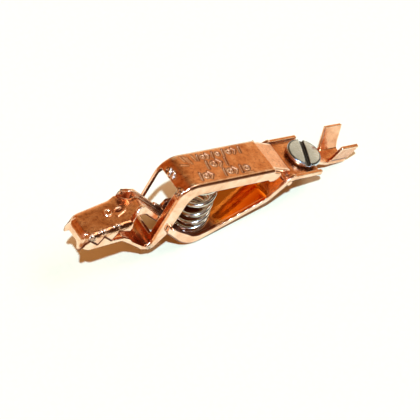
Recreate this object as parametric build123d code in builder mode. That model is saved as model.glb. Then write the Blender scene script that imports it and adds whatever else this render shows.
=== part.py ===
from build123d import *
from math import cos, radians, sin
import os

# Ground clamp: a small cross-arm clip stamped from solid copper sheet.
# All lengths are millimetres.  The clip rests on its belly and its crimp end.
#
# Side view coordinates (u, w): u runs along the thumb plate towards the cable end
# and w is square to the thumb plate.  (0, 0) is the rear top edge of the thumb plate.

os.makedirs("parts", exist_ok=True)

# ---- driving dimensions -------------------------------------------------------
SHEET = 0.85                 # copper sheet thickness
REST_TILT = 18.44            # the thumb plate slopes down to the rear by this angle
PLATE_REAR_X = 12.165        # rear top edge of the thumb plate in the model frame
PLATE_REAR_Z = 12.875
FAR = 60.0                   # half length of a cut that passes right through

THUMB_HALF_WIDTH = 4.9       # outside of the thumb lever
TERMINAL_HALF_WIDTH = 5.9    # outside of the terminal lever, which the thumb lever nests in
NECK_HALF_WIDTH = 2.8        # terminal lever where it passes through the window
WINDOW_NEAR_REACH = 2.95     # window in the thumb lever's front, from the middle to -Y
WINDOW_FAR_REACH = 3.8       # and to +Y, where the arm is a narrow strip
TONGUE_HALF_WIDTH = 4.25     # rear tongue of the thumb lever
STRIP_HALF_WIDTH = 2.4       # strip from the terminal to the crimp ears
JAW_REAR_HALF_WIDTH = 4.3
JAW_NOSE_HALF_WIDTH = 3.95
NOSE_RADIUS = 1.5

HINGE_U = 5.7                # hinge axis in side view
HINGE_W = -4.45
HINGE_RADIUS = 0.7           # bead on the thumb lever's tongue
HINGE_CLEARANCE = 0.05
EYE_RADIUS = 1.35            # eye in the terminal lever's walls round the bead
WALL_HEIGHT = 1.9            # terminal lever's side walls, outside
TERMINAL_WALL_TOP_W = -2.45  # the walls are lower beside the screw

SCREW_U = 13.0               # terminal screw axis in side view
SCREW_HEAD_DIAMETER = 8.2
SCREW_HEAD_HEIGHT = 1.7
SCREW_SEAT_DIAMETER = 6.2    # the head stands on a lower boss
SCREW_SEAT_HEIGHT = 0.6
SCREW_HEAD_ROUNDING = 0.35
SCREW_DIAMETER = 4.1
SCREW_LENGTH = 4.8
SCREW_CLEARANCE = 0.05
SLOT_WIDTH = 1.2
SLOT_DEPTH = 0.9
SLOT_ANGLE = 68.0            # slot direction, from the length of the clip
TERMINAL_FLOOR_W = -4.0      # underside of the terminal floor
COLLAR_WALL = 1.0            # collar drawn down round the tapped hole
COLLAR_DROP = 1.9

CRIMP_FRONT_U = 20.1
CRIMP_LENGTH = 5.0

SPRING_WIRE = 0.95
SPRING_RADIUS = 3.3          # to the middle of the wire
SPRING_TURNS = 6
SPRING_U = -13.0
SPRING_BOTTOM_W = -14.1      # middle of the wire at the belly
SPRING_TOP_W = -1.45         # middle of the wire under the thumb plate

tilt = radians(REST_TILT)
side = Plane(
    origin=(PLATE_REAR_X, 0, PLATE_REAR_Z),
    x_dir=(cos(tilt), 0, -sin(tilt)),
    z_dir=(0, -1, 0),
)
plan = Plane(origin=side.origin, x_dir=side.x_dir, z_dir=side.y_dir)


def on_side(u, w):
    """Point on the middle plane of the clip."""
    return side.from_local_coords((u, w, 0))


def closed_shape(corners):
    """Flat face from its corners, each one (across, up, fillet radius)."""
    with BuildSketch() as face:
        with BuildLine():
            FilletPolyline(
                *[(a, b) for a, b, _ in corners],
                radius=[radius for _, _, radius in corners],
                close=True,
            )
        make_face()
    return face.sketch


def bent_sheet(corners, body_side):
    """Side view of the sheet: a filleted line thickened to one side."""
    with BuildSketch() as face:
        with BuildLine():
            FilletPolyline(
                *[(u, w) for u, w, _ in corners],
                radius=[radius for _, _, radius in corners[1:-1]],
            )
            offset(amount=SHEET, side=body_side)
        make_face()
    return face.sketch


def band(corners, height):
    """Side view of a wall that stands a constant height above a filleted line."""
    with BuildSketch() as face:
        with BuildLine():
            FilletPolyline(
                *[(u, w) for u, w, _ in corners],
                radius=[radius for _, _, radius in corners[1:-1]],
            )
            offset(amount=height, side=Side.RIGHT)
        make_face()
    return face.sketch


def mirrored(half_outline):
    """Plan outline from its corners on the +Y side, nose first."""
    other_half = [(u, -y, radius) for u, y, radius in reversed(half_outline)]
    return closed_shape(half_outline + other_half)


def stamping(side_shapes, plan_shape):
    """Solid that fills the side view shapes inside the plan outline."""
    with BuildPart() as body:
        with BuildSketch(side):
            for shape in side_shapes:
                add(shape)
        extrude(amount=FAR, both=True)
        with BuildSketch(plan):
            add(plan_shape)
        extrude(amount=FAR, both=True, mode=Mode.INTERSECT)
    return body.part


def side_difference(shapes, removed):
    """Side view shapes without the removed one."""
    with BuildSketch() as face:
        for shape in shapes:
            add(shape)
        add(removed, mode=Mode.SUBTRACT)
    return face.sketch


# ---- teeth --------------------------------------------------------------------
# Side view of the seam between the jaws, nose first: fang, then roots and tips
# of the upper jaw.  The lower jaw's teeth fit between them.
FANG = (-45.9, -16.2)
SEAM = [(-44.2, -12.4), (-42.0, -13.9), (-41.0, -11.7), (-38.6, -13.4)]
LAST_ROOT = (-37.5, -10.8)
TOOTH_GAP = 0.2

# ---- thumb lever --------------------------------------------------------------
thumb_line = [
    (HINGE_U + SHEET / 2, HINGE_W, 0),
    (HINGE_U + SHEET / 2, -1.9, 0.9),
    (0, 0, 0.8),
    (-25.2, 0, 4.8),
    (-27.3, -18.2, 1.6),
    (-35.5, -13.46, 2.0),
    (-44.9, -14.7, 0),
]
thumb_sheet = bent_sheet(thumb_line, Side.LEFT)
skirt_outline = closed_shape([
    (2.6, -0.86, 0),
    (0, 0, 0.8),
    (-25.2, 0, 4.8),
    (-27.3, -18.2, 1.6),
    (-29.7, -16.81, 0),
    (-29.28, -17.55, 0),
    (-28.3, -18.1, 0),
    (-26.4, -18.6, 1.2),
    (-23.5, -13.9, 2.0),
    (-21.9, -3.1, 3.2),
    (2.0, -3.1, 0),
])
with BuildSketch() as ear_face:
    with Locations((1.0, -2.1)):
        Circle(1.75)
lower_jaw_wall = closed_shape([
    (-31.6, -16.1, 0),
    (-33.4, -14.3, 0.8),
    (-35.4, -13.4, 0.8),
    (SEAM[3][0], SEAM[3][1] - TOOTH_GAP, 0),
    (SEAM[2][0], SEAM[2][1] - TOOTH_GAP, 0),
    (SEAM[1][0], SEAM[1][1] - TOOTH_GAP, 0),
    (SEAM[0][0], SEAM[0][1] - TOOTH_GAP, 0),
    (-44.9, -14.2, 0),
    (-44.9, -15.5, 0),
    (-35.4, -14.2, 0),
])
thumb_plan = mirrored([
    (-44.9, JAW_NOSE_HALF_WIDTH, NOSE_RADIUS),
    (-33.5, JAW_REAR_HALF_WIDTH, 4.0),
    (-28.6, THUMB_HALF_WIDTH, 4.0),
    (12.0, THUMB_HALF_WIDTH, 0),
])
thumb_plan_inside = mirrored([
    (-44.9 + SHEET, JAW_NOSE_HALF_WIDTH - SHEET, NOSE_RADIUS - SHEET),
    (-33.5, JAW_REAR_HALF_WIDTH - SHEET, 4.0),
    (-28.6, THUMB_HALF_WIDTH - SHEET, 4.0),
    (14.0, THUMB_HALF_WIDTH - SHEET, 0),
])
thumb_walls = [skirt_outline, ear_face.sketch, lower_jaw_wall]
thumb_hollow = stamping([side_difference(thumb_walls, thumb_sheet)], thumb_plan_inside)

with BuildPart() as thumb_lever:
    add(stamping([thumb_sheet, *thumb_walls], thumb_plan))
    add(thumb_hollow, mode=Mode.SUBTRACT)
    # The tongue is narrower than the plate.
    for side_sign in (-1, 1):
        with BuildSketch(side.offset(side_sign * TONGUE_HALF_WIDTH)):
            Polygon((0.5, 1), (8, 1), (8, -7), (3.2, -7), (2.74, -1.65), (0.5, -0.95), align=None)
        extrude(amount=side_sign * 2, mode=Mode.SUBTRACT)
    # Window for the terminal lever's neck.
    for reach in (WINDOW_NEAR_REACH, -WINDOW_FAR_REACH):
        with BuildSketch(side):
            Polygon((-30, -2.4), (-22, -2.4), (-22, -15.5), (-28.2, -15.5), (-30, -14), align=None)
        extrude(amount=reach, mode=Mode.SUBTRACT)
    # The arm on the +Y side is a plain strip, with hardly any skirt behind it.
    with BuildSketch(side.offset(-WINDOW_FAR_REACH)):
        Polygon((-24.7, -4.4), (-26.04, -16), (-21, -16), (-21, -2.9), (-22.9, -3.1), align=None)
    extrude(amount=-FAR, mode=Mode.SUBTRACT)
    # Bead along the end of the tongue, which is the hinge pin.
    with BuildSketch(side):
        with Locations((HINGE_U, HINGE_W)):
            Circle(HINGE_RADIUS)
    extrude(amount=TERMINAL_HALF_WIDTH, both=True)
thumb_lever.part.label = "thumb_lever"
export_step(thumb_lever.part, "parts/thumb_lever.step")

# ---- terminal lever -----------------------------------------------------------
terminal_line = [
    (25.1, -5.2, 0),
    (19.3, -5.15, 2.0),
    (15.6, TERMINAL_FLOOR_W, 2.0),
    (6.4, TERMINAL_FLOOR_W, 2.2),
    (2.1, -9.6, 3.0),
    (-16.1, -19.4, 5.0),
    (-22.5, -15.2, 12.0),
    (-30.9, -8.8, 2.0),
    (-45.9, -12.75, 0),
]
terminal_sheet = bent_sheet(terminal_line, Side.RIGHT)
CHANNEL_REAR_U = 14.7
CHEEK_FRONT_U = -24.6
channel_walls = band(
    [(CHANNEL_REAR_U, TERMINAL_FLOOR_W, 0), *terminal_line[3:6], (CHEEK_FRONT_U, -13.6, 0)],
    WALL_HEIGHT,
)
with BuildSketch() as eye_face:
    with Locations((HINGE_U, HINGE_W)):
        Circle(EYE_RADIUS)
neck_flanges = closed_shape([
    (-20.0, -16.6, 0),
    (-23.0, -12.9, 2.0),
    (-32.3, -5.5, 1.6),
    (-34.0, -7.0, 0.8),
    (-33.9, -9.2, 0),
    (-31.0, -8.4, 0),
    (-22.6, -14.8, 0),
])
hood_walls = closed_shape([
    (-34.2, -9.4, 0),
    (-45.9, -12.4, 0),
    (FANG[0], FANG[1], 0),
    *[(u, w, 0) for u, w in SEAM],
    (LAST_ROOT[0], LAST_ROOT[1], 0.4),
    (-34.2, -11.5, 0.5),
])
terminal_plan = mirrored([
    (-45.9, JAW_NOSE_HALF_WIDTH, NOSE_RADIUS),
    (-34.2, JAW_REAR_HALF_WIDTH, 1.0),
    (-33.6, NECK_HALF_WIDTH, 0.4),
    (CHEEK_FRONT_U - 0.4, NECK_HALF_WIDTH, 0),
    (CHEEK_FRONT_U - 0.4, TERMINAL_HALF_WIDTH, 0),
    (CHANNEL_REAR_U, TERMINAL_HALF_WIDTH, 0),
    (CHANNEL_REAR_U, STRIP_HALF_WIDTH + 1, 0),
    (CHANNEL_REAR_U + 1.2, STRIP_HALF_WIDTH, 1.0),
    (26.0, STRIP_HALF_WIDTH, 0),
])
FLOOR_FRONT_U = -21.0        # front edge of the belly floor, beside the neck
NOTCH_REAR_U = -18.6         # notches in the floor, beside the thumb lever's arms
NOTCH_HALF_WIDTH = 3.85
terminal_plan_inside = mirrored([
    (-45.9 + SHEET, JAW_NOSE_HALF_WIDTH - SHEET, NOSE_RADIUS - SHEET),
    (-34.2, JAW_REAR_HALF_WIDTH - SHEET, 1.0),
    (-33.6, NECK_HALF_WIDTH - SHEET, 0.4),
    (FLOOR_FRONT_U, NECK_HALF_WIDTH - SHEET, 0),
    (FLOOR_FRONT_U, TERMINAL_HALF_WIDTH - SHEET, 0),
    (30.0, TERMINAL_HALF_WIDTH - SHEET, 0),
])
terminal_walls = [channel_walls, eye_face.sketch, neck_flanges, hood_walls]
terminal_hollow = stamping(
    [side_difference(terminal_walls, terminal_sheet)], terminal_plan_inside
)
crimp_plane = Plane(origin=on_side(CRIMP_FRONT_U, 0), x_dir=(0, 1, 0), z_dir=side.x_dir)

with BuildPart() as terminal_lever:
    add(stamping([terminal_sheet, *terminal_walls], terminal_plan))
    add(terminal_hollow, mode=Mode.SUBTRACT)
    with BuildSketch(side):
        Polygon((6.9, TERMINAL_WALL_TOP_W), (16, TERMINAL_WALL_TOP_W), (16, 0), (3.0, 0), align=None)
    extrude(amount=FAR, both=True, mode=Mode.SUBTRACT)
    # The floor narrows in front of the spring and leaves room for the thumb lever's arms.
    for side_sign in (-1, 1):
        with BuildSketch(plan):
            Polygon(
                (-32.5, side_sign * NECK_HALF_WIDTH),
                (FLOOR_FRONT_U, side_sign * NECK_HALF_WIDTH),
                (FLOOR_FRONT_U, side_sign * NOTCH_HALF_WIDTH),
                (NOTCH_REAR_U, side_sign * NOTCH_HALF_WIDTH),
                (NOTCH_REAR_U, side_sign * (TERMINAL_HALF_WIDTH - SHEET)),
                (-32.5, side_sign * (TERMINAL_HALF_WIDTH - SHEET)),
                align=None,
            )
        extrude(amount=FAR, both=True, mode=Mode.SUBTRACT)
    # The +Y wall stops at the belly, and its corner is clipped.
    with BuildSketch(side.offset(-NOTCH_HALF_WIDTH)):
        Polygon(
            (-30, -6), (-30, -20.5), (-17.6, -20.5), (-17.6, -17.6), (-17, -16.9), (-15.5, -16),
            (-14, -12), align=None,
        )
    extrude(amount=-FAR, mode=Mode.SUBTRACT)
    # Bearing holes for the bead, and the slot that the tongue passes through.
    with BuildSketch(side):
        with Locations((HINGE_U, HINGE_W)):
            Circle(HINGE_RADIUS + HINGE_CLEARANCE)
    extrude(amount=FAR, both=True, mode=Mode.SUBTRACT)
    with BuildSketch(side):
        Polygon(
            (HINGE_U + 0.53, HINGE_W),
            (HINGE_U + 0.53, 0),
            (HINGE_U - 3, 0),
            (HINGE_U - HINGE_RADIUS - 0.6, HINGE_W),
            (HINGE_U, HINGE_W - HINGE_RADIUS),
            align=None,
        )
    extrude(amount=TONGUE_HALF_WIDTH + 0.1, both=True, mode=Mode.SUBTRACT)
    # Collar drawn down round the tapped screw hole.
    with BuildSketch(plan.offset(TERMINAL_FLOOR_W + SHEET / 2)):
        with Locations((SCREW_U, 0)):
            Circle(SCREW_DIAMETER / 2 + COLLAR_WALL)
    extrude(amount=-COLLAR_DROP)
    with BuildSketch(plan):
        with Locations((SCREW_U, 0)):
            Circle(SCREW_DIAMETER / 2 + SCREW_CLEARANCE)
    extrude(amount=-FAR, mode=Mode.SUBTRACT)
    # Arch between the two fangs of the nose.
    with BuildSketch(Plane(origin=on_side(-50, 0), x_dir=(0, 1, 0), z_dir=side.x_dir)):
        Polygon((-3.1, -18), (-2.9, -16.2), (-1.6, -14.3), (1.6, -14.3), (2.9, -16.2), (3.1, -18),
                align=None)
    extrude(amount=6, mode=Mode.SUBTRACT)
    # Crimp ears, bent up in two stages.
    with BuildSketch(crimp_plane):
        with BuildLine():
            FilletPolyline(
                (-3.9, 1.25), (-2.8, -3.2), (-1.9, -5.2), (1.9, -5.2), (2.8, -3.2), (3.9, 1.25),
                radius=[0.9, 1.2, 1.2, 0.9],
            )
            offset(amount=SHEET, side=Side.LEFT)
        make_face()
    extrude(amount=CRIMP_LENGTH)
terminal_lever.part.label = "terminal_lever"
export_step(terminal_lever.part, "parts/terminal_lever.step")

# ---- spring -------------------------------------------------------------------
spring_height = SPRING_TOP_W - SPRING_BOTTOM_W
with BuildPart() as spring:
    with BuildLine() as coil:
        Helix(
            pitch=spring_height / SPRING_TURNS,
            height=spring_height,
            radius=SPRING_RADIUS,
            center=on_side(SPRING_U, SPRING_BOTTOM_W),
            direction=side.y_dir,
        )
    with BuildSketch(Plane(origin=coil.line @ 0, z_dir=coil.line % 0)):
        Circle(SPRING_WIRE / 2)
    sweep(path=coil.line, is_frenet=True)
spring.part.label = "spring"
export_step(spring.part, "parts/spring.step")

# ---- terminal screw -----------------------------------------------------------
head_plane = plan.offset(TERMINAL_FLOOR_W + SHEET)
with BuildPart() as terminal_screw:
    with BuildSketch(head_plane.offset(SCREW_SEAT_HEIGHT)):
        with Locations((SCREW_U, 0)):
            Circle(SCREW_HEAD_DIAMETER / 2)
    extrude(amount=SCREW_HEAD_HEIGHT - SCREW_SEAT_HEIGHT)
    fillet(
        terminal_screw.edges().group_by(Axis(on_side(0, 0), side.y_dir))[-1],
        SCREW_HEAD_ROUNDING,
    )
    with BuildSketch(head_plane):
        with Locations((SCREW_U, 0)):
            Circle(SCREW_SEAT_DIAMETER / 2)
    extrude(amount=SCREW_SEAT_HEIGHT)
    with BuildSketch(head_plane):
        with Locations((SCREW_U, 0)):
            Circle(SCREW_DIAMETER / 2)
    extrude(amount=-SCREW_LENGTH)
    with BuildSketch(head_plane.offset(SCREW_HEAD_HEIGHT)):
        with Locations(Location((SCREW_U, 0, 0), (0, 0, SLOT_ANGLE))):
            Rectangle(SCREW_HEAD_DIAMETER + 1, SLOT_WIDTH)
    extrude(amount=-SLOT_DEPTH, mode=Mode.SUBTRACT)
terminal_screw.part.label = "terminal_screw"
export_step(terminal_screw.part, "parts/terminal_screw.step")
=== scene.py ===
"""Ground clamp: the looks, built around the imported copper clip.

Shapes are worked out in the clip's own side view coordinates, in millimetres:
u runs along the thumb plate towards the cable end, y across the clip and w square
to the plate, from the plate's rear top edge.  Each piece is turned into the row frame,
in metres, when it is made.
"""

import math

import bpy
import numpy as np
from mathutils import Matrix, Vector


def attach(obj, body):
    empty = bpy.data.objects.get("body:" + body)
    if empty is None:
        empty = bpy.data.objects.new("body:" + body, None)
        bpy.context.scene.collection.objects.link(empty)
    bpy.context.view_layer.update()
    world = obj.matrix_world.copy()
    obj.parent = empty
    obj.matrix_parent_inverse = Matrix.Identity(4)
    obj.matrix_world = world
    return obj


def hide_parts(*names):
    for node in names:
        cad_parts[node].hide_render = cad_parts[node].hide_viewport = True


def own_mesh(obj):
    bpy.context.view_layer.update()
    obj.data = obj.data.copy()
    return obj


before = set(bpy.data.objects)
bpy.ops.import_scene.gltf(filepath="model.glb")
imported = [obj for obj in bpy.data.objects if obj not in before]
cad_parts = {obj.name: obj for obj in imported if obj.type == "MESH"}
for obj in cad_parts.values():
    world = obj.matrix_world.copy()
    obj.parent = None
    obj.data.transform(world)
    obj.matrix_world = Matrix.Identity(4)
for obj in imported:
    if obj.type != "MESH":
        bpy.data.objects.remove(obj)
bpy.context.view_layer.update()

# ---- the clip's own coordinates --------------------------------------------------
MM = 0.001
REST_TILT = math.radians(18.44)
PLATE_REAR = np.array([12.165, 0.0, 12.875])
PLATE_AXES = np.array([
    [math.cos(REST_TILT), 0.0, -math.sin(REST_TILT)],
    [0.0, 1.0, 0.0],
    [math.sin(REST_TILT), 0.0, math.cos(REST_TILT)],
])


def to_row(points):
    """Clip coordinates in millimetres to row frame points in metres."""
    return (np.asarray(points, float) @ PLATE_AXES + PLATE_REAR) * MM


def to_clip(points):
    """Row frame points in metres to clip coordinates in millimetres."""
    return (np.asarray(points, float) / MM - PLATE_REAR) @ PLATE_AXES.T


def smoothstep(low, high, x):
    t = np.clip((np.asarray(x, float) - low) / (high - low), 0, 1)
    return t * t * (3 - 2 * t)


# ---- mesh helpers ----------------------------------------------------------------
def read_points(mesh):
    flat = np.empty(len(mesh.vertices) * 3)
    mesh.vertices.foreach_get("co", flat)
    return flat.reshape(-1, 3)


def write_points(mesh, points):
    mesh.vertices.foreach_set("co", np.asarray(points, np.float32).ravel())
    mesh.update()


def read_edges(mesh):
    flat = np.empty(len(mesh.edges) * 2, np.int32)
    mesh.edges.foreach_get("vertices", flat)
    return flat.reshape(-1, 2)


def read_normals(mesh):
    flat = np.empty(len(mesh.vertices) * 3)
    mesh.vertices.foreach_get("normal", flat)
    return flat.reshape(-1, 3)


def neighbour_mean(values, edges):
    """Mean of each vertex's neighbours."""
    total = np.zeros_like(values)
    count = np.zeros(len(values))
    for a, b in ((0, 1), (1, 0)):
        count += np.bincount(edges[:, a], minlength=len(values))
        for k in range(values.shape[1]):
            total[:, k] += np.bincount(
                edges[:, a], weights=values[edges[:, b], k], minlength=len(values))
    return total / np.maximum(count, 1)[:, None]


def relax(points, edges, rounds, share=0.5):
    """Smooths the points, each by its own share."""
    share = np.broadcast_to(share, len(points))[:, None]
    for _ in range(rounds):
        points = points + share * (neighbour_mean(points, edges) - points)
    return points


def new_object(name, data):
    made = bpy.data.objects.new(name, data)
    bpy.context.scene.collection.objects.link(made)
    return made


def fine_copy(name, node, voxel):
    """Even quad mesh on the CAD node's surface, in clip coordinates."""
    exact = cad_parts[node].data.copy()
    write_points(exact, to_clip(read_points(exact)))
    target = new_object(name + "_exact", exact)
    piece = new_object(name, exact.copy())
    remesh = piece.modifiers.new("remesh", "REMESH")
    remesh.mode = "VOXEL"
    remesh.voxel_size = voxel
    remesh.use_smooth_shade = True
    wrap = piece.modifiers.new("wrap", "SHRINKWRAP")
    wrap.target = target
    wrap.wrap_method = "NEAREST_SURFACEPOINT"
    shown = piece.evaluated_get(bpy.context.evaluated_depsgraph_get())
    fine = bpy.data.meshes.new_from_object(shown)
    piece.modifiers.clear()
    piece.data = fine
    bpy.data.objects.remove(target)
    return piece


# ---- outlines --------------------------------------------------------------------
ARC_STEP = math.radians(6)


def filleted(corners, closed=False):
    """Points along a line through (a, b, fillet radius) corners."""
    xy = np.array([c[:2] for c in corners], float)
    n = len(xy)
    points = []
    for i in range(n):
        radius = corners[i][2]
        if radius == 0 or (not closed and i in (0, n - 1)):
            points.append(xy[i])
            continue
        to_last = xy[i - 1] - xy[i]
        to_next = xy[(i + 1) % n] - xy[i]
        to_last /= np.linalg.norm(to_last)
        to_next /= np.linalg.norm(to_next)
        half = math.acos(np.clip(to_last @ to_next, -1, 1)) / 2
        start = xy[i] + to_last * radius / math.tan(half)
        inward = (to_last + to_next) / np.linalg.norm(to_last + to_next)
        middle = xy[i] + inward * radius / math.sin(half)
        sweep = math.pi - 2 * half
        turn = np.sign(to_last[0] * to_next[1] - to_last[1] * to_next[0])
        arm = start - middle
        steps = max(2, int(math.ceil(sweep / ARC_STEP)))
        for k in range(steps + 1):
            angle = -turn * sweep * k / steps
            c, s = math.cos(angle), math.sin(angle)
            points.append(middle + np.array([c * arm[0] - s * arm[1], s * arm[0] + c * arm[1]]))
    if closed:
        points.append(points[0])
    return np.array(points)


def signed_distance(at, line):
    """Distance of each 2D point from the line, positive on the line's left."""
    best = np.full(len(at), np.inf)
    side = np.ones(len(at))
    for a, b in zip(line[:-1], line[1:]):
        d = b - a
        length = d @ d
        if length < 1e-12:
            continue
        t = np.clip(((at - a) @ d) / length, 0, 1)
        off = at - (a + t[:, None] * d)
        distance = np.hypot(off[:, 0], off[:, 1])
        cross = d[0] * (at[:, 1] - a[1]) - d[1] * (at[:, 0] - a[0])
        closer = distance < best - 1e-9
        best[closer] = distance[closer]
        side[closer] = np.where(cross[closer] >= 0, 1, -1)
    return best * side


def round_corner(points, depth_a, depth_b, axis_a, axis_b, radius, where):
    """Pulls points near the edge between two faces onto a bend of that radius.

    depth_a and depth_b are how far each point lies under either face, and axis_a and
    axis_b the directions, for each point, in which those depths shrink.
    """
    in_a = radius - depth_a
    in_b = radius - depth_b
    reach = np.hypot(in_a, in_b)
    near = where & (in_a > 0) & (in_b > 0) & (reach > radius)
    pull = np.where(near, 1 - radius / np.maximum(reach, 1e-9), 0)
    return points - (pull * in_a)[:, None] * axis_a - (pull * in_b)[:, None] * axis_b


def line_direction(at, line):
    """For each 2D point, the unit normal of the nearest run of the line, on its left."""
    best = np.full(len(at), np.inf)
    normal = np.zeros((len(at), 2))
    for a, b in zip(line[:-1], line[1:]):
        d = b - a
        length = math.hypot(*d)
        if length < 1e-9:
            continue
        t = np.clip(((at - a) @ d) / length ** 2, 0, 1)
        off = at - (a + t[:, None] * d)
        distance = np.hypot(off[:, 0], off[:, 1])
        closer = distance < best - 1e-9
        best[closer] = distance[closer]
        normal[closer] = (-d[1] / length, d[0] / length)
    return normal


# ---- sheet outlines, as in the CAD -----------------------------------------------
SHEET = 0.85
HINGE_U, HINGE_W = 5.7, -4.45
THUMB_LINE = filleted([
    (HINGE_U + SHEET / 2, HINGE_W, 0), (HINGE_U + SHEET / 2, -1.9, 0.9), (0, 0, 0.8),
    (-25.2, 0, 4.8), (-27.3, -18.2, 1.6), (-35.5, -13.46, 2.0), (-44.9, -14.7, 0),
])
TERMINAL_LINE = filleted([
    (25.1, -5.2, 0), (19.3, -5.15, 2.0), (15.6, -4.0, 2.0), (6.4, -4.0, 2.2), (2.1, -9.6, 3.0),
    (-16.1, -19.4, 5.0), (-22.5, -15.2, 12.0), (-30.9, -8.8, 2.0), (-45.9, -12.75, 0),
])


def mirrored(half):
    return filleted(half + [(u, -y, r) for u, y, r in reversed(half)], closed=True)


THUMB_PLAN = mirrored([(-44.9, 3.95, 1.5), (-33.5, 4.3, 4.0), (-28.6, 4.9, 4.0), (12.0, 4.9, 0)])
TERMINAL_PLAN = mirrored([
    (-45.9, 3.95, 1.5), (-34.2, 4.3, 1.0), (-33.6, 2.8, 0.4), (-25.0, 2.8, 0), (-25.0, 5.9, 0),
    (14.7, 5.9, 0), (14.7, 3.4, 0), (15.9, 2.4, 1.0), (26.0, 2.4, 0),
])
FOLD_RADIUS = 0.8
JAW_FOLD_RADIUS = 0.35       # lower jaw
HOOD_FOLD_RADIUS = 1.35
NOSE_FOLD_RADIUS = 1.3


def under_face(points, line, body_on_left):
    """How deep each point lies under the sheet's outer face, and that face's normal."""
    side_view = points[:, [0, 2]]
    turn = 1 if body_on_left else -1
    depth = turn * signed_distance(side_view, line)
    out = -turn * line_direction(side_view, line)
    return depth, np.stack([out[:, 0], np.zeros(len(out)), out[:, 1]], 1)


def under_wall(points, plan):
    """How deep each point lies inside the plan outline, and the outline's normal."""
    plan_view = points[:, :2]
    out = line_direction(plan_view, plan)
    depth = -signed_distance(plan_view, plan)
    return depth, np.stack([out[:, 0], out[:, 1], np.zeros(len(out))], 1)


# ---- surface marks ---------------------------------------------------------------
def capsule(at, a, b, radius):
    """Distance outside a round-ended stroke from a to b, negative inside."""
    a, b = np.array(a, float), np.array(b, float)
    d = b - a
    t = np.clip(((at - a) @ d) / max(d @ d, 1e-12), 0, 1)
    off = at - (a + t[:, None] * d)
    return np.hypot(off[:, 0], off[:, 1]) - radius


STROKE_HALF = 0.17           # half width of a pressed stroke
STROKE_LEAN = 0.2
RING_SIZE = 0.62             # of half a mark's length, as the next
CHEVRON_SIZE = 0.45
STAMP_GROUPS = [  # y of the row, u of its first and last mark, number of marks, mark length
    (2.80, -16.7, -11.2, 5, 1.35),
    (2.85, -9.6, -5.0, 4, 1.6),
    (0.35, -15.6, -10.4, 4, 2.1),
    (-2.45, -19.2, -16.4, 3, 1.9),
    (-2.45, -12.6, -6.5, 5, 1.9),
]
SCRATCH_HALF = 0.05
SCRATCHES = [  # ends of plain scratches on the plate: u, y, u, y
    (-20.9, 3.9, -20.5, 2.4), (-20.1, 3.8, -19.6, 1.9), (-19.4, 3.3, -19.1, 1.5),
    (-17.9, 3.7, -17.6, 2.1), (-22.0, 1.6, -20.3, 1.2), (-7.9, -3.6, -5.6, -3.9),
]


def stroke_distance(points):
    """Distance from rows of plain pressed strokes, rings and chevrons on the thumb plate."""
    at = points[:, :2]
    nearest = np.full(len(at), np.inf)
    for row, first, last, count, length in STAMP_GROUPS:
        for k in range(count):
            u = first + (last - first) * k / (count - 1)
            half = length / 2
            if k % 3 == 1:
                ring = capsule(at, (u, row), (u, row), half * RING_SIZE)
                mark = np.abs(ring) - STROKE_HALF
            elif k % 3 == 2:
                reach = half * CHEVRON_SIZE
                mark = np.minimum(
                    capsule(at, (u - reach, row - half), (u + reach, row), STROKE_HALF),
                    capsule(at, (u - reach, row + half), (u + reach, row), STROKE_HALF))
            else:
                mark = capsule(at, (u - STROKE_LEAN, row - half), (u + STROKE_LEAN, row + half),
                               STROKE_HALF)
            nearest = np.minimum(nearest, mark)
    return nearest


def scratch_distance(points):
    at = points[:, :2]
    nearest = np.full(len(at), np.inf)
    for u_a, y_a, u_b, y_b in SCRATCHES:
        nearest = np.minimum(nearest, capsule(at, (u_a, y_a), (u_b, y_b), SCRATCH_HALF))
    return nearest


JAW_WALL_Y = 2.6             # the jaws' side walls are outside this
TEETH_REAR_U = -35.0
SEAM_SHADOW_FADE = (0.16, 0.42)     # distances from the seam between which its painted shadow fades
TOOTH_ZONE = (0.7, 1.2)      # and between which the smoothing starts again
TOOTH_SEAM = np.array([
    (-45.9, -16.2), (-44.2, -12.4), (-42.0, -13.9), (-41.0, -11.7), (-38.6, -13.4),
    (-37.5, -10.8), (-34.2, -11.5),
])


def seam_painted_shadow(points):
    """1 along the gap between the teeth, where the jaws' edges get a painted shadow."""
    gap = np.abs(signed_distance(points[:, [0, 2]], TOOTH_SEAM))
    return (1 - smoothstep(*SEAM_SHADOW_FADE, gap)) * (np.abs(points[:, 1]) > JAW_WALL_Y)


def off_teeth(points):
    """Share of smoothing for each point: none on the teeth and fangs, so they stay sharp."""
    gap = np.abs(signed_distance(points[:, [0, 2]], TOOTH_SEAM))
    on_teeth = (1 - smoothstep(*TOOTH_ZONE, gap)) * (points[:, 0] < TEETH_REAR_U)
    return 0.5 * (1 - on_teeth)


# ---- finish of a piece -----------------------------------------------------------
def finish_piece(piece, points, body, material, replaced):
    write_points(piece.data, to_row(points))
    piece.data.polygons.foreach_set("use_smooth", np.ones(len(piece.data.polygons), bool))
    piece.data.materials.clear()
    piece.data.materials.append(material)
    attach(piece, body)
    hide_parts(replaced)


def write_layer(piece, name, values):
    layer = piece.data.attributes.new(name, "FLOAT", "POINT")
    values = np.broadcast_to(np.clip(values, 0, 1), len(piece.data.vertices))
    layer.data.foreach_set("value", values.astype(np.float32))


BEND_BLUR = 4                # rounds of smoothing of the measured bend
OUTER_BEND, INNER_BEND = (0.0015, 0.008), (-0.002, -0.014)   # mm from neighbours' mean
SIDE_FACING = (0.75, 0.95)   # how far a normal is turned aside on sides and rims
NOSE_REAR_U = -42.5          # the nose is pale all round before this
EARS_FRONT_U = 18.0          # the crimp ears, behind this, are less rubbed


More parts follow.
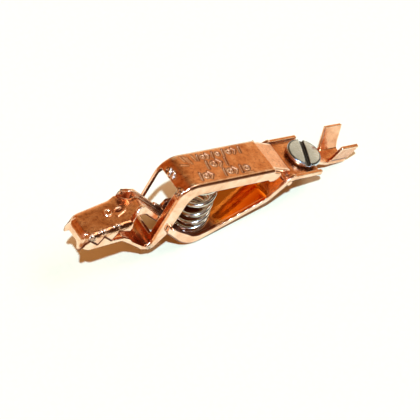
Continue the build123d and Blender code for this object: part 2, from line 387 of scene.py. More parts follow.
def add_wear_and_painted_light(piece, points, edges, highlights_and_wear=0.0, scuffs=0.0, painted_shades=0.0, polish_and_painted_reflection=0.0):
    """Vertex attributes for the metal's wear, tone and painted light.

    The first is 1 where the copper is bare and pale, on outer bends and sides, and it also
    carries painted highlights passed in.  The second is painted shade: in tight inner
    corners, on bends that face partly down, and where passed in.  The third is 1 where the
    surface is torn up, and the fourth is 1 inside the clip, where the sheet keeps its rolled
    polish and takes a painted orange reflection.
    """
    write_points(piece.data, points)
    normals = read_normals(piece.data)
    bend = ((points - neighbour_mean(points, edges)) * normals).sum(1)[:, None]
    bend = relax(bend, edges, BEND_BLUR, 0.6)[:, 0]
    aside = np.where(points[:, 0] < NOSE_REAR_U, np.hypot(normals[:, 0], normals[:, 1]),
                     np.abs(normals[:, 1]))
    rubbed = np.where(points[:, 0] > EARS_FRONT_U, 0.5, 0.9)
    wear_and_painted_highlight = smoothstep(*OUTER_BEND, bend) + highlights_and_wear + rubbed * smoothstep(*SIDE_FACING, aside)
    up = normals[:, 2]
    # Painted shade on bends that face partly down.
    lower_bend = smoothstep(-0.12, -0.40, up) * smoothstep(-0.93, -0.80, up)
    painted_shades = np.clip(painted_shades + 0.9 * lower_bend, 0, 1)
    write_layer(piece, "wear_and_painted_highlight", wear_and_painted_highlight * (1 - painted_shades))
    # Painted shade in tight inner corners, added to the painted shade passed in.
    write_layer(piece, "painted_shade", 0.7 * smoothstep(*INNER_BEND, bend) + painted_shades)
    write_layer(piece, "scuff", scuffs)
    write_layer(piece, "polish_and_painted_reflection", polish_and_painted_reflection)


def ball(points, centre, radii):
    """1 inside an ellipsoid about the centre, falling to 0 at its edge."""
    off = (points - np.array(centre)) / np.array(radii)
    return 1 - smoothstep(0.5, 1.0, np.sqrt((off ** 2).sum(1)))


CRUMPLE_WAVES = 5


def crumple(points, size, height):
    """Uneven bumps of about the given size, the same on every run: crossing waves."""
    total = np.zeros(len(points))
    for k in range(1, CRUMPLE_WAVES + 1):
        turn = 2.4 * k
        along = np.array([math.cos(turn), math.sin(turn), math.cos(1.7 * k)])
        pitch = size / (0.7 + 0.23 * k)
        total = total + np.sin(2 * math.pi * (points @ along) / pitch + 1.3 * k)
    return height * total / CRUMPLE_WAVES


def tear_up(points, normals, patches, size, height):
    """Crumples the surface inside the patches; returns the points and where they are torn."""
    scuffs = np.zeros(len(points))
    for centre, radii in patches:
        scuffs = np.maximum(scuffs, ball(points, centre, radii))
    return points + normals * (scuffs * crumple(points, size, height))[:, None], scuffs


# ---- thumb lever -----------------------------------------------------------------
VOXEL = 0.13                 # millimetres between the points of a lever's mesh
THUMB_ROUNDS = 3             # of smoothing
THUMB_FOLDS = (-28.5, 0.3)   # u of the plate and arms, whose walls fold down
LOWER_JAW_U = -30.0          # before this the walls fold up
PLATE_LOW_W = -0.4           # the plate's top is above this
PLATE_UNDER_W = -3.0         # and its underside above this
FAR_ARM_Y, ARM_TOP_W = 3.4, -2.6   # the far arm's window side is outside and below these
STAMP_DEPTH, STAMP_EDGE = 0.20, 0.12
SCRATCH_DEPTH, SCRATCH_EDGE = 0.06, 0.16
THUMB_CRUMPLE = (0.9, 0.13)  # size and height of the bumps in torn-up patches
THUMB_SCUFFS = [  # centre and radii of torn-up patches
    ((-24.4, 1.2, -1.6), (1.3, 2.4, 1.3)),
    ((-24.9, -3.5, -2.4), (1.2, 1.5, 1.5)),
    ((-27.2, -4.3, -17.8), (1.3, 1.5, 1.3)),
]


def press_marks(points, normals):
    """Presses the marks and scratches in; returns the points, their cores of painted highlight
    and bare metal, and their rims of painted shade.
    """
    on_plate = (normals[:, 2] > 0.8) & (points[:, 2] > PLATE_LOW_W)
    stroke = stroke_distance(points)
    scratch = scratch_distance(points)
    pressed = STAMP_DEPTH * (1 - smoothstep(-STAMP_EDGE, STAMP_EDGE, stroke))
    pressed = pressed + SCRATCH_DEPTH * (1 - smoothstep(0, SCRATCH_EDGE, scratch))
    # Painted highlight along the strokes' cores and bare metal along the scratches' cores;
    # painted shade along the rims of both.
    mark_highlight_and_wear = (1 - smoothstep(-0.10, 0.02, stroke)) + 0.8 * (1 - smoothstep(0.0, 0.12, scratch))
    mark_shade = np.exp(-((stroke - 0.14) / 0.12) ** 2) + 0.7 * np.exp(-((scratch - 0.22) / 0.1) ** 2)
    points = points - normals * (pressed * on_plate)[:, None]
    return points, mark_highlight_and_wear * on_plate, mark_shade * on_plate


def plate_fold_painted_light(points, normals):
    """A painted highlight line along the top of the plate's side folds and a band of painted
    shade below it.
    """
    up = normals[:, 2]
    on_fold = (points[:, 2] > -1.6) & (points[:, 0] > -23.0) & (np.abs(points[:, 1]) > 3.6)
    dark = 0.9 * smoothstep(0.10, 0.30, up) * smoothstep(0.93, 0.80, up)
    light = 0.8 * np.exp(-((up - 0.95) / 0.03) ** 2)
    return light * on_fold, dark * on_fold


def make_thumb_lever(material):
    piece = fine_copy("thumb_lever_sheet", "thumb_lever", VOXEL)
    edges = read_edges(piece.data)
    points = read_points(piece.data)
    depth, face_out = under_face(points, THUMB_LINE, True)
    wall_depth, wall_out = under_wall(points, THUMB_PLAN)
    folded_down = (points[:, 0] > THUMB_FOLDS[0]) & (points[:, 0] < THUMB_FOLDS[1])
    folded_up = points[:, 0] < LOWER_JAW_U
    points = round_corner(
        points, wall_depth, depth, wall_out, face_out, FOLD_RADIUS, folded_down)
    points = round_corner(
        points, wall_depth, SHEET - depth, wall_out, -face_out, JAW_FOLD_RADIUS, folded_up)
    points = relax(points, edges, THUMB_ROUNDS, off_teeth(points))
    write_points(piece.data, points)
    normals = read_normals(piece.data)
    points, mark_highlight_and_wear, mark_shade = press_marks(points, normals)
    points, scuffs = tear_up(points, normals, THUMB_SCUFFS, *THUMB_CRUMPLE)
    # Painted highlight line and painted shade band along the plate's folds.
    light, dark = plate_fold_painted_light(points, normals)
    # Painted shade on the far arm's window side.
    window_edge = (normals[:, 1] < -0.6) & (points[:, 1] > FAR_ARM_Y)
    window_edge = window_edge & (points[:, 2] < ARM_TOP_W)
    # Painted shade beside the marks, on the far arm's window side, in the seam between the teeth
    # and below the plate's folds.
    painted_shades = mark_shade + window_edge + seam_painted_shadow(points) + dark
    # Under the plate behind the spring: polish, and a painted orange reflection.
    underside = (normals[:, 2] < -0.5) & (points[:, 2] > PLATE_UNDER_W)
    behind_spring = smoothstep(-14.0, -11.0, points[:, 0]) * smoothstep(2.0, 1.0, points[:, 0])
    polish_and_painted_reflection = underside * behind_spring
    add_wear_and_painted_light(piece, points, edges, np.maximum(mark_highlight_and_wear, light), scuffs, painted_shades, polish_and_painted_reflection)
    finish_piece(piece, points, "thumb_side", material, "thumb_lever")


# ---- terminal lever --------------------------------------------------------------
NECK_INSIDE, NECK_OUTSIDE = 1.95, 2.8
SHOULDER_Y = 4.3
FAR_FLARE, NEAR_FLARE = 1.25, 0.25   # how far each flange curls out to meet the hood
FLARE_GROWS, FLARE_FADES = (-32.2, -34.3), (-36.5, -34.7)   # in u


def flare_neck(points):
    """Curls the front ends of the neck's flanges outwards, into the hood's shoulders."""
    u, y = points[:, 0], points[:, 1]
    most = np.where(y > 0, FAR_FLARE, NEAR_FLARE)
    spread = most * smoothstep(*FLARE_GROWS, u) * smoothstep(*FLARE_FADES, u)
    width = np.abs(y)
    inside = width * (NECK_INSIDE + spread) / NECK_INSIDE
    flange = width + spread
    outside = SHOULDER_Y - (SHOULDER_Y - width) * (SHOULDER_Y - NECK_OUTSIDE - spread) / (
        SHOULDER_Y - NECK_OUTSIDE)
    moved = np.where(width < NECK_INSIDE, inside, np.where(width < NECK_OUTSIDE, flange, outside))
    moved = np.where(width > SHOULDER_Y, width, moved)
    return np.stack([u, np.sign(y) * moved, points[:, 2]], 1)


RIM_U, RIM_REACH = -17.0, 3.6
RIM_RISE = 0.7               # how much higher the walls stand there, beside the belly
DROP_U, DROP_REACH = -19.8, 1.6
BELLY_DROP = 0.3             # how much fuller they are there, just before it
SIDE_WALL_Y = (4.6, 5.1)     # from the edge of the floor to the inside of its walls
SIDE_WALL_U = -23.0          # the walls begin behind this
WALL_FOOT, WALL_TOP = 0.9, 1.9   # depths under the outer face


def raise_belly_rim(points):
    """Walls that sweep up round the belly."""
    u = points[:, 0]
    depth, _ = under_face(points, TERMINAL_LINE, False)
    in_wall = smoothstep(*SIDE_WALL_Y, np.abs(points[:, 1])) * (u > SIDE_WALL_U)
    rise = RIM_RISE * np.exp(-((u - RIM_U) / RIM_REACH) ** 2)
    rise = rise * smoothstep(WALL_FOOT, WALL_TOP, depth)
    drop = BELLY_DROP * np.exp(-((u - DROP_U) / DROP_REACH) ** 2)
    drop = drop * smoothstep(WALL_TOP, WALL_FOOT, depth)
    moved = points.copy()
    moved[:, 2] += in_wall * (rise - drop)
    return moved


CHANNEL = (-33.3, 14.9)      # u of the neck, belly, floor and terminal, whose walls fold up
HOOD_U = -33.9               # before this the walls fold down
HOOD_CROWN = 0.30            # drop of the hood's top from its middle to its folds
CROWN_FLAT, CROWN_FALL = 2.3, 1.8    # half width of the flat middle, width of the fall
HOOD_TOP_REAR_U = -33.0
PIP = (-38.1, 0.6)           # pip punched in the top of the hood
PIP_RING, PIP_WIDTH, PIP_HEIGHT = 0.74, 0.2, 0.24
DENT, DENT_REACH, DENT_DEPTH = (-35.7, 0.3), (0.8, 0.42), 0.42
DENT_SHADE_REACH = (1.0, 0.6)
CREASE = ((-36.6, -1.1), (-34.4, -0.3))
CREASE_HEIGHT, CREASE_WIDTH = 0.14, 0.16
SADDLE = ((-34.2, 1.9, -8.6), (1.6, 1.5, 1.4))   # hollow where the neck begins, given painted shade
HOOD_CRUMPLE = (0.8, 0.10)
HOOD_SCUFFS = [
    ((-43.6, -3.2, -12.2), (1.3, 1.3, 1.2)), ((-40.6, -3.0, -11.3), (2.2, 1.1, 1.0)),
    ((-37.2, -3.1, -10.4), (2.4, 0.8, 1.0)),
    ((-34.2, 3.7, -7.4), (1.2, 1.4, 1.6)),
]
NOSE_U, NOSE_HALF_WIDTH = -45.9, 3.95
NOSE_CORNER = 2.6            # rounding of the hood's top, seen from above
NOSE_BEND_U = (-43.6, -45.2)         # where the hood's fold takes on the nose's radius
NOSE_ZONE_U, NOSE_ZONE_W = (-41.0, -43.0), (-15.5, -13.8)
NOSE_ROUNDS, NOSE_SHARE = 8, 0.6     # of further smoothing there
TERMINAL_ROUNDS = 4                  # of smoothing everywhere else


def round_nose(points, below_top):
    """Rounder corners on the hood's top than on the fangs below it."""
    in_u = NOSE_CORNER - (points[:, 0] - NOSE_U)
    in_y = NOSE_CORNER - (NOSE_HALF_WIDTH - np.abs(points[:, 1]))
    square = np.maximum(in_u, in_y)
    true = np.maximum(np.hypot(in_u, in_y), 1e-9)
    at_corner = (in_u > 0) & (in_y > 0)
    pull = np.where(at_corner, 1 - square / true, 0) * smoothstep(3.6, 0.8, below_top)
    moved = points.copy()
    moved[:, 0] += pull * in_u
    moved[:, 1] -= pull * in_y * np.sign(points[:, 1])
    return moved


def round_hood(points):
    """Bends the hood's walls down from its top, round its nose, and crowns the top."""
    depth, face_out = under_face(points, TERMINAL_LINE, False)
    wall_depth, wall_out = under_wall(points, TERMINAL_PLAN)
    hood = points[:, 0] < HOOD_U
    nose = smoothstep(*NOSE_BEND_U, points[:, 0])
    radius = HOOD_FOLD_RADIUS + (NOSE_FOLD_RADIUS - HOOD_FOLD_RADIUS) * nose
    points = round_corner(
        points, wall_depth, SHEET - depth, wall_out, -face_out, radius, hood)
    points = round_nose(points, SHEET - depth)
    crown = HOOD_CROWN * np.clip((np.abs(points[:, 1]) - CROWN_FLAT) / CROWN_FALL, 0, 1) ** 2
    points[:, 2] -= crown * hood * smoothstep(-0.9, 0.3, depth)
    return points


def hump(at, centre, reach):
    """1 at the centre, falling off smoothly over the reach in u and y."""
    off = at - np.array(centre)
    return np.exp(-(off[:, 0] / reach[0]) ** 2 - (off[:, 1] / reach[1]) ** 2)


def shape_hood_top(points, normals):
    """Raised pip, a dent behind it and a crease beside the dent."""
    top = (normals[:, 2] > 0.7) & (points[:, 0] < HOOD_TOP_REAR_U)
    at = points[:, :2]
    off = at - np.array(PIP)
    ring = np.exp(-((np.hypot(off[:, 0], off[:, 1]) - PIP_RING) / PIP_WIDTH) ** 2)
    dent = hump(at, DENT, DENT_REACH)
    crease = np.exp(-(capsule(at, *CREASE, 0.0) / CREASE_WIDTH) ** 2)
    height = PIP_HEIGHT * ring - DENT_DEPTH * dent + CREASE_HEIGHT * crease
    return points + normals * (height * top)[:, None]


def hood_painted_shade(points, normals):
    """Painted shade in the dent and in the hollow behind it."""
    in_dent = hump(points[:, :2], DENT, DENT_SHADE_REACH) * (normals[:, 2] > 0.6)
    return in_dent + ball(points, *SADDLE)


FLOOR_TOP_W = -8.0           # the sloping floor and the belly are below this


def inner_floor(points, normals):
    """Where the floor gets painted shade, under the spring, and where it is polished and takes a
    painted orange reflection, behind it.
    """
    u = points[:, 0]
    floor = (normals[:, 2] > 0.5) * (points[:, 2] < FLOOR_TOP_W) * smoothstep(4.5, 3.5, u)
    in_painted_shade = floor * smoothstep(-9.0, -11.0, u) * smoothstep(-24.0, -22.0, u)
    return in_painted_shade, floor * smoothstep(-11.0, -9.0, u)


def make_terminal_lever(material):
    piece = fine_copy("terminal_lever_sheet", "terminal_lever", VOXEL)
    edges = read_edges(piece.data)
    points = read_points(piece.data)
    depth, face_out = under_face(points, TERMINAL_LINE, False)
    wall_depth, wall_out = under_wall(points, TERMINAL_PLAN)
    channel = (points[:, 0] > CHANNEL[0]) & (points[:, 0] < CHANNEL[1])
    points = round_corner(
        points, wall_depth, depth, wall_out, face_out, FOLD_RADIUS, channel)
    points = round_hood(points)
    shaped = raise_belly_rim(flare_neck(points))
    points = relax(shaped, edges, TERMINAL_ROUNDS, off_teeth(points))
    nose = smoothstep(*NOSE_ZONE_U, points[:, 0]) * smoothstep(*NOSE_ZONE_W, points[:, 2])
    points = relax(points, edges, NOSE_ROUNDS, NOSE_SHARE * nose)
    write_points(piece.data, points)
    normals = read_normals(piece.data)
    points = shape_hood_top(points, normals)
    points, scuffs = tear_up(points, normals, HOOD_SCUFFS, *HOOD_CRUMPLE)
    # Painted shade on the floor under the spring, in the seam and on the hood; polish and a
    # painted reflection behind the spring.
    in_painted_shade, polish_and_painted_reflection = inner_floor(points, normals)
    painted_shades = seam_painted_shadow(points) + hood_painted_shade(points, normals) + in_painted_shade
    add_wear_and_painted_light(piece, points, edges, 0.0, scuffs, painted_shades, polish_and_painted_reflection)
    finish_piece(piece, points, "terminal_side", material, "terminal_lever")


# ---- spring ----------------------------------------------------------------------
SPRING_WIRE = 1.08
SPRING_TOP_RADIUS, SPRING_BOTTOM_RADIUS = 3.52, 3.72
SPRING_TURNS = 6.5
SPRING_TOP = np.array([-14.7, 0.0, -1.45])
SPRING_BOTTOM = np.array([-13.3, 0.0, -16.55])
SPRING_BOTTOM_TILT = math.radians(28.3)
SPRING_BOW = 0.73            # how far the middle of the coil stands forward
SPRING_START = 2.99          # where on the ring the wire starts, in radians
CLOSED_TURNS = 0.55          # wire pressed flat at either end
COIL_CROWDING = 0.6          # how much closer the lower coils lie
WIRE_END = 0.72              # the wire's ends are narrowed to this share of its radius
RING_SIDES = 14
RING_STEPS = 56              # rings in a turn


def spring_centreline():
    """Coils that start flat on the belly ramp and fan out to meet the plate squarely."""
    turn = np.linspace(0, SPRING_TURNS, int(SPRING_TURNS * RING_STEPS) + 1)
    rise = np.clip((turn - CLOSED_TURNS) / (SPRING_TURNS - 2 * CLOSED_TURNS), 0, 1)
    rise = rise - COIL_CROWDING * rise * (1 - rise)
    tilt = SPRING_BOTTOM_TILT * (1 - rise) ** 0.5
    middle = SPRING_BOTTOM + (SPRING_TOP - SPRING_BOTTOM) * rise[:, None]
    middle = middle + np.array([-SPRING_BOW, 0, 0]) * np.sin(math.pi * rise)[:, None]
    angle = 2 * math.pi * turn + SPRING_START
    radius = SPRING_BOTTOM_RADIUS + (SPRING_TOP_RADIUS - SPRING_BOTTOM_RADIUS) * rise
    flat_u = radius * np.cos(angle)
    flat_y = radius * np.sin(angle)
    return middle + np.stack([flat_u * np.cos(tilt), flat_y, flat_u * np.sin(tilt)], 1)


def tube(centre, radius, sides):
    """Closed tube mesh along a line of points, a little narrower at its two ends."""
    forward = np.gradient(centre, axis=0)
    forward /= np.linalg.norm(forward, axis=1)[:, None]
    normal = np.zeros_like(centre)
    last = np.array([0.0, 0.0, 1.0])
    for i, f in enumerate(forward):
        last = last - (last @ f) * f
        last /= np.linalg.norm(last)
        normal[i] = last
    side = np.cross(forward, normal)
    radii = np.full(len(centre), radius)
    radii[[0, -1]] = radius * WIRE_END
    turn = np.linspace(0, 2 * math.pi, sides, endpoint=False)[None, :, None]
    spoke = np.cos(turn) * normal[:, None] + np.sin(turn) * side[:, None]
    points = (centre[:, None] + radii[:, None, None] * spoke).reshape(-1, 3)
    faces = []
    for i in range(len(centre) - 1):
        for k in range(sides):
            n = (k + 1) % sides
            faces.append((i * sides + k, i * sides + n, (i + 1) * sides + n, (i + 1) * sides + k))
    faces.append(tuple(range(sides))[::-1])
    end = (len(centre) - 1) * sides
    faces.append(tuple(end + k for k in range(sides)))
    return points, faces


def make_spring(material):
    points, faces = tube(spring_centreline(), SPRING_WIRE / 2, RING_SIDES)
    mesh = bpy.data.meshes.new("compression_spring")
    mesh.from_pydata([tuple(p) for p in points], [], faces)
    piece = new_object("compression_spring", mesh)
    finish_piece(piece, points, "terminal_side", material, "spring")
    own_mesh(piece)


# ---- screw -----------------------------------------------------------------------
SCREW_U = 13.0
SEAT_W = -3.15               # top of the terminal floor
THREAD_PITCH = 0.79
THREAD_DEPTH = 0.22
SHANK_RADIUS = 2.05
SCREW_VOXEL = 0.09
SCREW_HEAD_RADIUS = 4.1
HEAD_TOP_W = -1.45
SCREW_CROWN = 0.32           # the head is a little domed
CROWN_DEPTHS = (0.9, 0.1)    # depths under its top between which the doming takes hold
SLOT_DEPTHS = (0.25, 1.0)    # depths between which the slot gets painted shade
PLAIN_SHANK = 0.25           # height of shank under the head that has no thread
THREAD_SKIN = 0.85           # share of the shank's radius beyond which the thread is cut
SCREW_ROUNDS = 2             # of smoothing


def make_screw(material):
    piece = fine_copy("binding_screw", "terminal_screw", SCREW_VOXEL)
    edges = read_edges(piece.data)
    points = relax(read_points(piece.data), edges, SCREW_ROUNDS)
    off = points[:, :2] - np.array([SCREW_U, 0])
    radius = np.hypot(off[:, 0], off[:, 1])
    angle = np.arctan2(off[:, 1], off[:, 0]) / (2 * math.pi)
    shank = (points[:, 2] < SEAT_W - PLAIN_SHANK) & (radius > SHANK_RADIUS * THREAD_SKIN)
    phase = np.mod(points[:, 2] / THREAD_PITCH - angle, 1.0)
    groove = THREAD_DEPTH * np.abs(2 * phase - 1)
    scale = np.where(shank, (radius - groove) / np.maximum(radius, 1e-6), 1)
    points[:, :2] = np.array([SCREW_U, 0]) + off * scale[:, None]
    crown = SCREW_CROWN * (radius / SCREW_HEAD_RADIUS) ** 2
    points[:, 2] -= crown * smoothstep(*CROWN_DEPTHS, HEAD_TOP_W - points[:, 2])
    write_points(piece.data, points)
    below_top = HEAD_TOP_W - points[:, 2]
    # Painted shade in the slot.
    in_slot = (below_top > SLOT_DEPTHS[0]) & (below_top < SLOT_DEPTHS[1])
    in_slot = in_slot & (radius < SCREW_HEAD_RADIUS - 0.1)
    in_slot = in_slot & (read_normals(piece.data)[:, 2] > -0.5)
    add_wear_and_painted_light(piece, points, edges, painted_shades=in_slot)
    finish_piece(piece, points, "screw", material, "terminal_screw")


# ---- materials -------------------------------------------------------------------
MIX_SOCKETS = (0, 6, 7)      # factor, first and second colour of a Mix node
MIX_RESULT = 2               # its colour output


class Nodes:
    """Adds nodes to the tree of a material or world, and links them to its shader."""

    def __init__(self, owner, shader):
        owner.use_nodes = True
        self.tree = owner.node_tree
        self.shader = self.tree.nodes[shader]

    def add(self, kind, inputs=None, **settings):
        node = self.tree.nodes.new(kind)
        for key, value in settings.items():
            setattr(node, key, value)
        for key, value in (inputs or {}).items():
            if isinstance(value, bpy.types.NodeSocket):
                self.tree.links.new(value, node.inputs[key])
            else:
                node.inputs[key].default_value = value
        return node

    def link(self, socket, target):
        self.tree.links.new(socket, self.shader.inputs[target])

    def noise(self, at, scale, detail=4.0, roughness=0.6, distortion=0.0):
        node = self.add("ShaderNodeTexNoise", {
            "Vector": at, "Scale": scale, "Detail": detail, "Roughness": roughness,
            "Distortion": distortion})
        return node.outputs["Fac"]

    def ramp(self, value, stops):
        node = self.add("ShaderNodeValToRGB", {"Fac": value})
        ramp = node.color_ramp
        while len(ramp.elements) < len(stops):
            ramp.elements.new(0.5)
        for element, (place, colour) in zip(ramp.elements, stops):
            element.position = place
            element.color = (*colour, 1.0)
        return node.outputs["Color"]

    def mix(self, share, a, b):
        """Colour a where share is 0 and colour b where it is 1."""
        colours = [c if isinstance(c, bpy.types.NodeSocket) else (*c, 1.0) for c in (a, b)]
        node = self.add("ShaderNodeMix", dict(zip(MIX_SOCKETS, [share, *colours])),
                        data_type="RGBA")
        return node.outputs[MIX_RESULT]

    def shade(self, value):
        """Grey of that value."""
        return self.ramp(value, [(0.0, grey(0.0)), (1.0, grey(1.0))])

    def math(self, operation, a, b):
        return self.add("ShaderNodeMath", {0: a, 1: b}, operation=operation).outputs[0]

    def attribute(self, name):
        return self.add("ShaderNodeAttribute", attribute_name=name).outputs["Fac"]

    def step(self, value, low, high):
        """0 up to low and 1 from high, straight between."""
        return self.add("ShaderNodeMapRange", {
            "Value": value, "From Min": low, "From Max": high}).outputs["Result"]

    def bump(self, height, strength, distance, normal=None):
        inputs = {"Height": height, "Strength": strength, "Distance": distance}
        if normal is not None:
            inputs["Normal"] = normal
        return self.add("ShaderNodeBump", inputs).outputs["Normal"]


def grey(value):
    return (value, value, value)


PRINCIPLED = "Principled BSDF"
TARNISH = [(0.32, (0.55, 0.175, 0.055)), (0.50, (0.80, 0.305, 0.12)), (0.68, (0.95, 0.45, 0.22))]
# Pale copper of wear, also used for painted highlights.
RUBBED_AND_HIGHLIGHT = [(0.34, (0.84, 0.47, 0.30)), (0.50, (0.95, 0.65, 0.46)), (0.62, (1.0, 0.76, 0.60))]
TORN = [(0.44, (0.04, 0.025, 0.02)), (0.52, (1.0, 0.80, 0.62))]
FLECK_COLOUR = (0.36, 0.085, 0.02)
# Colour of painted shade.
PAINTED_SHADE_COLOUR = (0.15, 0.034, 0.010)
# Painted orange reflection inside the clip.
PAINTED_REFLECTION_COLOUR = (1.0, 0.42, 0.08)
BRUSHING = (300.0, 2400.0, 2400.0)   # brush lines run along the clip


def copper_material():
    """Bare copper: tarnished on the flats and pale on bends and sides, with painted
    highlights, painted shade and a painted orange reflection inside the clip.

    The noises' scales are in cells per metre, and the bumps' heights in metres.
    """
    material = bpy.data.materials.new("bare_copper")
    m = Nodes(material, PRINCIPLED)
    place = m.add("ShaderNodeTexCoord").outputs["Object"]
    wear_and_painted_highlight, painted_shade, scuff, polish_and_painted_reflection = [
        m.attribute(name) for name in ("wear_and_painted_highlight", "painted_shade", "scuff", "polish_and_painted_reflection")]
    blotches = m.noise(place, 300.0, detail=5.0, roughness=0.66, distortion=0.5)
    specks = m.noise(place, 1700.0, detail=3.0, roughness=0.65)
    grit = m.noise(place, 2300.0, detail=2.0, roughness=0.5)
    brushed_at = m.add("ShaderNodeMapping", {"Vector": place, "Scale": BRUSHING})
    brushed = m.noise(brushed_at.outputs["Vector"], 1.0, detail=3.0, roughness=0.6)
    flecks = m.ramp(specks, [(0.52, grey(0.0)), (0.70, grey(0.7))])
    colour = m.mix(flecks, m.ramp(blotches, TARNISH), FLECK_COLOUR)
    # In turn: painted shade, the painted orange reflection inside the clip, then wear and painted
    # highlights.
    colour = m.mix(painted_shade, colour, PAINTED_SHADE_COLOUR)
    colour = m.mix(polish_and_painted_reflection, colour, PAINTED_REFLECTION_COLOUR)
    colour = m.mix(wear_and_painted_highlight, colour, m.ramp(blotches, RUBBED_AND_HIGHLIGHT))
    colour = m.mix(m.math("MULTIPLY", scuff, 0.8), colour, m.ramp(grit, TORN))
    m.link(colour, "Base Color")
    m.shader.inputs["Metallic"].default_value = 1.0
    polish = m.math("MULTIPLY", polish_and_painted_reflection, 0.75)
    uneven = m.mix(0.5, m.shade(blotches), m.shade(brushed))
    rough = m.ramp(uneven, [(0.35, grey(0.12)), (0.65, grey(0.27))])
    rough = m.mix(polish, rough, grey(0.03))
    rough = m.mix(painted_shade, rough, grey(0.40))
    m.link(rough, "Roughness")
    unpolished = m.math("SUBTRACT", 1.0, polish)
    normal = m.bump(m.math("MULTIPLY", blotches, unpolished), 0.6, 0.00014)
    normal = m.bump(m.math("MULTIPLY", specks, unpolished), 0.6, 0.00004, normal)
    normal = m.bump(brushed, 0.3, 0.00002, normal)
    normal = m.bump(m.math("MULTIPLY", grit, scuff), 1.0, 0.0002, normal)
    m.link(normal, "Normal")
    return material


def steel_material(name, tint, dark, smooth, rough, scale):
    """Mottled steel between a clean and a dark tint, nearly black where it has painted shade."""
    material = bpy.data.materials.new(name)
    m = Nodes(material, PRINCIPLED)
    place = m.add("ShaderNodeTexCoord").outputs["Object"]
    mottle = m.noise(place, scale, detail=5.0, roughness=0.65, distortion=0.6)
    fine = m.noise(place, scale * 7, detail=3.0, roughness=0.6)
    clean = m.ramp(mottle, [(0.32, dark), (0.62, tint)])
    # Painted shade from the layer, nearly black.
    in_painted_shade = m.math("MULTIPLY", m.attribute("painted_shade"), 0.85)
    m.link(m.mix(in_painted_shade, clean, grey(0.05)), "Base Color")
    m.shader.inputs["Metallic"].default_value = 1.0
    m.link(m.ramp(fine, [(0.3, grey(smooth)), (0.7, grey(rough))]), "Roughness")
    m.link(m.bump(fine, 0.25, 0.00002, m.bump(mottle, 0.3, 0.00008)), "Normal")
    return material


copper = copper_material()
spring_steel = steel_material(
    "spring_wire_steel", tint=(0.86, 0.82, 0.74), dark=(0.34, 0.31, 0.27),
    smooth=0.10, rough=0.22, scale=420.0)
screw_steel = steel_material(
    "plated_screw_steel", tint=(0.76, 0.86, 1.0), dark=(0.50, 0.58, 0.66),
    smooth=0.14, rough=0.30, scale=300.0)

make_thumb_lever(copper)
make_terminal_lever(copper)
make_spring(spring_steel)
make_screw(screw_steel)

# ---- floor, light and camera -----------------------------------------------------
FLOOR_HALF = 1.5
FLOOR_COLOURS = [(0.3, (0.87, 0.72, 0.49)), (0.7, (0.89, 0.74, 0.51))]


def make_floor():
    mesh = bpy.data.meshes.new("floor")
    h = FLOOR_HALF
    mesh.from_pydata([(-h, -h, 0), (h, -h, 0), (h, h, 0), (-h, h, 0)], [], [(0, 1, 2, 3)])
    floor = new_object("floor", mesh)
    material = bpy.data.materials.new("pale_floor")
    m = Nodes(material, PRINCIPLED)
    grain = m.noise(m.add("ShaderNodeTexCoord").outputs["Object"], 900.0)
    m.link(m.ramp(grain, FLOOR_COLOURS), "Base Color")
    m.shader.inputs["Roughness"].default_value = 0.9
    m.shader.inputs["Specular IOR Level"].default_value = 0.1
    mesh.materials.append(material)


def aim(thing, at):
    direction = Vector(at) - thing.location
    thing.rotation_mode = "QUATERNION"
    thing.rotation_quaternion = direction.to_track_quat("-Z", "Y")


KEY_PLACE = (-0.1455, -0.1750, 0.5)  # the sun shines from here to the origin
KEY_COLOUR = (0.41, 0.69, 1.0)
KEY_POWER = 5.8
KEY_SPREAD = math.radians(2.0)


def make_key_light():
    key = new_object("key", bpy.data.lights.new("key", "SUN"))
    key.data.energy = KEY_POWER
    key.data.angle = KEY_SPREAD
    key.data.color = KEY_COLOUR
    key.location = KEY_PLACE
    aim(key, (0.0, 0.0, 0.0))


SKY = [  # height above the horizon, and colour
    (0.0, (1.0, 0.76, 0.46)), (0.42, (0.80, 0.62, 0.39)), (0.74, (0.54, 0.40, 0.23)),
    (0.90, (0.10, 0.06, 0.03)),
]
SOFTBOX_TOWARDS = Vector((0.48, -0.14, 0.86)).normalized()
SOFTBOX_COLOUR = (3.6, 3.4, 3.2)
SOFTBOX_EDGE = (0.955, 0.978)  # cosines of the angles from its middle where it fades out
DARK_SIDE, DARK_COLOUR = (-0.22, -0.42), (0.05, 0.03, 0.02)   # towards -Y, below the zenith
ZENITH = (0.90, 0.75)
WARM_SIDE, WARM_COLOUR = (0.25, -0.10), (0.48, 0.18, 0.03)    # towards -X


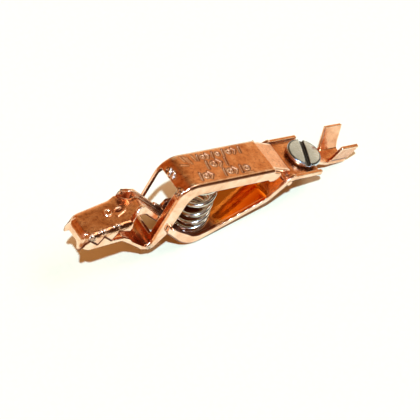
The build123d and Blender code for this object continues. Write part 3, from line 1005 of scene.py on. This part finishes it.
def make_world():
    """Warm room, brighter near the horizon, with a soft box, a dark side and a warm side."""
    world = bpy.data.worlds.new("studio")
    bpy.context.scene.world = world
    m = Nodes(world, "Background")
    towards = m.add("ShaderNodeTexCoord").outputs["Generated"]
    split = m.add("ShaderNodeSeparateXYZ", {0: towards})
    x, y, z = [split.outputs[axis] for axis in "XYZ"]
    colour = m.ramp(z, SKY)
    dark = m.math("MULTIPLY", m.step(y, *DARK_SIDE), m.step(z, *ZENITH))
    colour = m.mix(dark, colour, DARK_COLOUR)
    colour = m.mix(m.math("MULTIPLY", m.step(x, *WARM_SIDE), 0.9), colour, WARM_COLOUR)
    facing = m.add("ShaderNodeVectorMath", {0: towards, 1: tuple(SOFTBOX_TOWARDS)},
                   operation="DOT_PRODUCT").outputs["Value"]
    colour = m.mix(m.step(facing, *SOFTBOX_EDGE), colour, SOFTBOX_COLOUR)
    m.link(colour, "Color")
    m.shader.inputs["Strength"].default_value = 1.0


CAMERA_PLACE = (-0.1682513, -0.2084878, 0.3551729)
CAMERA_AZIMUTH = math.radians(-38.85151)
CAMERA_ELEVATION = math.radians(52.95826)
CAMERA_ROLL = math.radians(8.86497)
LENS, SENSOR = 171.545, 36.0  # millimetres


def make_camera():
    data = bpy.data.cameras.new("camera")
    data.lens = LENS
    data.sensor_width = SENSOR
    data.clip_start, data.clip_end = 0.01, 10.0
    data.dof.use_dof = False
    camera = new_object("camera", data)
    a, e, r = CAMERA_AZIMUTH, CAMERA_ELEVATION, CAMERA_ROLL
    back = Vector((math.sin(a) * math.cos(e), -math.cos(a) * math.cos(e), math.sin(e)))
    level = Vector((math.cos(a), math.sin(a), 0))
    upright = back.cross(level)
    right = math.cos(r) * level + math.sin(r) * upright
    up = -math.sin(r) * level + math.cos(r) * upright
    turn = Matrix((right, up, back)).transposed()
    camera.rotation_mode = "QUATERNION"
    camera.rotation_quaternion = turn.to_quaternion()
    camera.location = CAMERA_PLACE
    bpy.context.scene.camera = camera


make_floor()
make_key_light()
make_world()
make_camera()
bpy.context.scene.view_settings.view_transform = "Standard"
